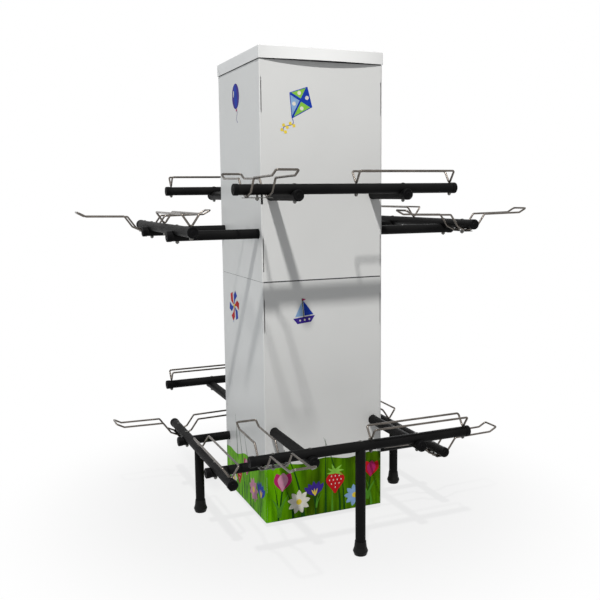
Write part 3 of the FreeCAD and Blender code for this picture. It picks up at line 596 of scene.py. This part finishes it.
def make_meadow(face):
    """The band of grass on a lower panel, from its foot to a wavy edge."""
    vertices, faces = [], []
    near = FILM_GAP + BAND * FILM_STEP
    far = near + FILM_THICKNESS
    path = meadow_path(face)
    for x, y, out_x, out_y in path:
        top = meadow_height(face, x)
        for out, z in ((near, MEADOW_FOOT), (far, MEADOW_FOOT), (far, top), (near, top)):
            vertices.append(turned(face, x + out * out_x, y + out * out_y, z))
    ring = 4
    for i in range(len(path) - 1):
        start = ring * i
        for j in range(ring):
            k = (j + 1) % ring
            faces.append((start + j, start + ring + j, start + ring + k, start + k))
    last = ring * (len(path) - 1)
    faces.append((0, 1, 2, 3))
    faces.append((last + 3, last + 2, last + 1, last))
    finish_print(f"{face}_meadow", vertices, faces, ["grass"] * len(faces))


def draw_blade(draw, place, count, reach, height, width, lean):
    """A random blade, in one of the equal shares of the meadow's width."""
    u = reach * (2 * (place + draw.uniform(*BLADE_PLACE)) / count - 1)
    outline = blade(draw.uniform(*height), draw.uniform(*width), draw.uniform(*lean))
    return shifted(outline, u, MEADOW_FOOT)


def make_blades(face, draw):
    """Dark blades of grass on the meadow, a few of them long enough to stand above it."""
    shapes = []
    rise = FAN_RISE / (TALL_BLADES + SHORT_BLADES)
    for i in range(TALL_BLADES):
        outline = draw_blade(draw, i, TALL_BLADES, TALL_REACH, TALL_HEIGHT, TALL_WIDTH, TALL_LEAN)
        shapes.append((BLADES + rise * i, "dark_green", outline))
    for i in range(SHORT_BLADES):
        outline = draw_blade(draw, i, SHORT_BLADES, SHORT_REACH, SHORT_HEIGHT, SHORT_WIDTH, SHORT_LEAN)
        ink = draw.choice(("dark_green", "leaf"))
        shapes.append((BLADES + rise * (TALL_BLADES + i), ink, outline))
    make_print(f"{face}_grass_blades", face, shapes)


def make_film():
    """The meadow, its flowers and the stickers on all four faces."""
    draw = random.Random(FILM_SEED)
    for face in FACES:
        make_meadow(face)
        make_blades(face, draw)
        flowers = []
        for shapes, u, z, scale in MEADOW[face]:
            flowers += placed(shapes, u, z, draw.uniform(*FLOWER_LEAN), scale)
        make_print(f"{face}_flowers", face, flowers)
        for name, shapes, u, z, turn, scale in STICKERS[face]:
            make_print(f"{face}_{name}", face, placed(shapes, u, z, turn, scale))


# The cap, whose long skirts stand away from the tower in the middle

# How far each skirt stands out, how many slices follow its bow, and how its mesh is joined and shaded.
CAP_BOW = {"front": 0.014, "back": 0.009}
CAP_SLICES = 28
MERGE_DISTANCE = 1e-6
SHARP_ANGLE = math.radians(35)


def make_cap():
    """The cap's sheet with its front and back skirts sprung outwards along their lower edges."""
    solid = frame["nodes"]["top_cap"]
    low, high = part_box("top_cap")
    mesh = solid.data.copy()
    mesh.name = "top_cap_sheet"
    work = bmesh.new()
    work.from_mesh(mesh)
    bmesh.ops.remove_doubles(work, verts=work.verts, dist=MERGE_DISTANCE)
    for i in range(1, CAP_SLICES):
        x = low.x + (high.x - low.x) * i / CAP_SLICES
        everything = work.verts[:] + work.edges[:] + work.faces[:]
        bmesh.ops.bisect_plane(work, geom=everything, plane_co=(x, 0, 0), plane_no=(1, 0, 0))
    for vertex in work.verts:
        side = -1 if vertex.co.y < 0 else 1
        if abs(vertex.co.y) > HALF:
            bow = CAP_BOW["front" if side < 0 else "back"]
            depth = (high.z - vertex.co.z) / (high.z - low.z)
            along = 1 - (vertex.co.x / high.x) ** 2
            vertex.co.y += side * bow * along * depth
    bmesh.ops.recalc_face_normals(work, faces=work.faces)
    work.to_mesh(mesh)
    work.free()
    mesh.polygons.foreach_set("use_smooth", [True] * len(mesh.polygons))
    mesh.set_sharp_from_angle(angle=SHARP_ANGLE)
    mesh.materials.clear()
    mesh.materials.append(MATERIALS["cap_paint"])
    piece = bpy.data.objects.new("top_cap_sheet", mesh)
    bpy.context.scene.collection.objects.link(piece)
    flat = piece.modifiers.new("flat faces", "WEIGHTED_NORMAL")
    flat.keep_sharp = True
    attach(piece, "cap")
    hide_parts("top_cap")


# Stage: floor, light and camera

FLOOR_SIDE = 30.0
FLOOR_GREY = (0.42, 0.42, 0.42, 1)
FLOOR_ROUGHNESS = 0.9
# The distances from the tower's middle between which the floor fades to white.
FLOOR_NEAR = 0.5
FLOOR_FAR = 1.4
# The share of plain white in the floor under the object.
FLOOR_WHITE = 0.78


def seen_directly(tree):
    """One for rays from the camera and rays that mirror or pass on what it sees, and otherwise zero."""
    path = tree.nodes.new("ShaderNodeLightPath")
    total = path.outputs["Is Camera Ray"]
    for name in ("Is Glossy Ray", "Is Transmission Ray"):
        larger = tree.nodes.new("ShaderNodeMath")
        larger.operation = "MAXIMUM"
        tree.links.new(total, larger.inputs[0])
        tree.links.new(path.outputs[name], larger.inputs[1])
        total = larger.outputs["Value"]
    return total


def make_floor():
    """A pale floor that keeps the shadow under the object and fades to white further out."""
    mesh = bpy.data.meshes.new("floor")
    corners = [(-FLOOR_SIDE, -FLOOR_SIDE, 0), (FLOOR_SIDE, -FLOOR_SIDE, 0),
               (FLOOR_SIDE, FLOOR_SIDE, 0), (-FLOOR_SIDE, FLOOR_SIDE, 0)]
    mesh.from_pydata(corners, [], [(0, 1, 2, 3)])
    floor = bpy.data.objects.new("floor", mesh)
    bpy.context.scene.collection.objects.link(floor)
    material, tree, shader = start_material("floor_white")
    shader.inputs["Base Color"].default_value = FLOOR_GREY
    shader.inputs["Roughness"].default_value = FLOOR_ROUGHNESS
    shader.inputs["Specular IOR Level"].default_value = 0.0
    place = tree.nodes.new("ShaderNodeTexCoord")
    length = tree.nodes.new("ShaderNodeVectorMath")
    length.operation = "LENGTH"
    tree.links.new(place.outputs["Object"], length.inputs[0])
    fade = tree.nodes.new("ShaderNodeMapRange")
    fade.interpolation_type = "SMOOTHSTEP"
    fade.inputs["From Min"].default_value = FLOOR_NEAR
    fade.inputs["From Max"].default_value = FLOOR_FAR
    fade.inputs["To Min"].default_value = FLOOR_WHITE
    tree.links.new(length.outputs["Value"], fade.inputs["Value"])
    seen = seen_directly(tree)
    both = tree.nodes.new("ShaderNodeMath")
    both.operation = "MULTIPLY"
    tree.links.new(fade.outputs["Result"], both.inputs[0])
    tree.links.new(seen, both.inputs[1])
    white = tree.nodes.new("ShaderNodeEmission")
    white.inputs["Color"].default_value = WHITE
    mix = tree.nodes.new("ShaderNodeMixShader")
    tree.links.new(both.outputs["Value"], mix.inputs["Fac"])
    tree.links.new(shader.outputs["BSDF"], mix.inputs[1])
    tree.links.new(white.outputs["Emission"], mix.inputs[2])
    tree.links.new(mix.outputs["Shader"], tree.nodes["Material Output"].inputs["Surface"])
    mesh.materials.append(material)


def add_lamp(name, place, travel, size, power, colour):
    """A round area lamp that shines along travel."""
    lamp = bpy.data.lights.new(name, "AREA")
    lamp.shape = "DISK"
    lamp.size = size
    lamp.energy = power
    lamp.color = colour
    holder = bpy.data.objects.new(name, lamp)
    holder.location = place
    holder.rotation_euler = travel.to_track_quat("-Z", "Y").to_euler()
    bpy.context.scene.collection.objects.link(holder)


def make_light():
    """A white surround, a soft fill from all sides and three lamps."""
    world = bpy.data.worlds.new("studio")
    bpy.context.scene.world = world
    world.use_nodes = True
    tree = world.node_tree
    fill = tree.nodes["Background"]
    fill.inputs["Color"].default_value = FILL_COLOUR
    fill.inputs["Strength"].default_value = FILL_STRENGTH
    white = tree.nodes.new("ShaderNodeBackground")
    white.inputs["Color"].default_value = WHITE
    mix = tree.nodes.new("ShaderNodeMixShader")
    tree.links.new(seen_directly(tree), mix.inputs["Fac"])
    tree.links.new(fill.outputs["Background"], mix.inputs[1])
    tree.links.new(white.outputs["Background"], mix.inputs[2])
    tree.links.new(mix.outputs["Shader"], tree.nodes["World Output"].inputs["Surface"])
    travel = KEY_TRAVEL.normalized()
    add_lamp("key", KEY_TARGET - travel * KEY_DISTANCE, travel, KEY_SIZE, KEY_POWER, KEY_COLOUR)
    aim = Vector((-HALF, 0, SIDE_PLACE.z)) - SIDE_PLACE
    add_lamp("side", SIDE_PLACE, aim, SIDE_SIZE, SIDE_POWER, SIDE_COLOUR)
    aim = Vector((0, 0, REAR_PLACE.z)) - REAR_PLACE
    add_lamp("rear", REAR_PLACE, aim, REAR_SIZE, REAR_POWER, REAR_COLOUR)


def make_camera():
    """A camera at the photograph's viewing angle, made the scene's own."""
    data = bpy.data.cameras.new("camera")
    data.sensor_width = CAMERA_SENSOR
    data.lens = CAMERA_LENS
    camera = bpy.data.objects.new("camera", data)
    sine, cosine = math.sin(CAMERA_YAW), math.cos(CAMERA_YAW)
    ahead = Vector((sine * math.cos(CAMERA_PITCH), cosine * math.cos(CAMERA_PITCH), -math.sin(CAMERA_PITCH)))
    right = Vector((cosine, -sine, 0))
    up = right.cross(ahead)
    level_right = right * math.cos(CAMERA_ROLL) + up * math.sin(CAMERA_ROLL)
    level_up = up * math.cos(CAMERA_ROLL) - right * math.sin(CAMERA_ROLL)
    turn = Matrix((level_right, level_up, -ahead)).transposed().to_4x4()
    camera.matrix_world = Matrix.Translation(CAMERA_PLACE) @ turn
    bpy.context.scene.collection.objects.link(camera)
    bpy.context.scene.camera = camera


make_film()
make_cap()
make_floor()
make_light()
make_camera()
bpy.context.scene.view_settings.view_transform = "Standard"
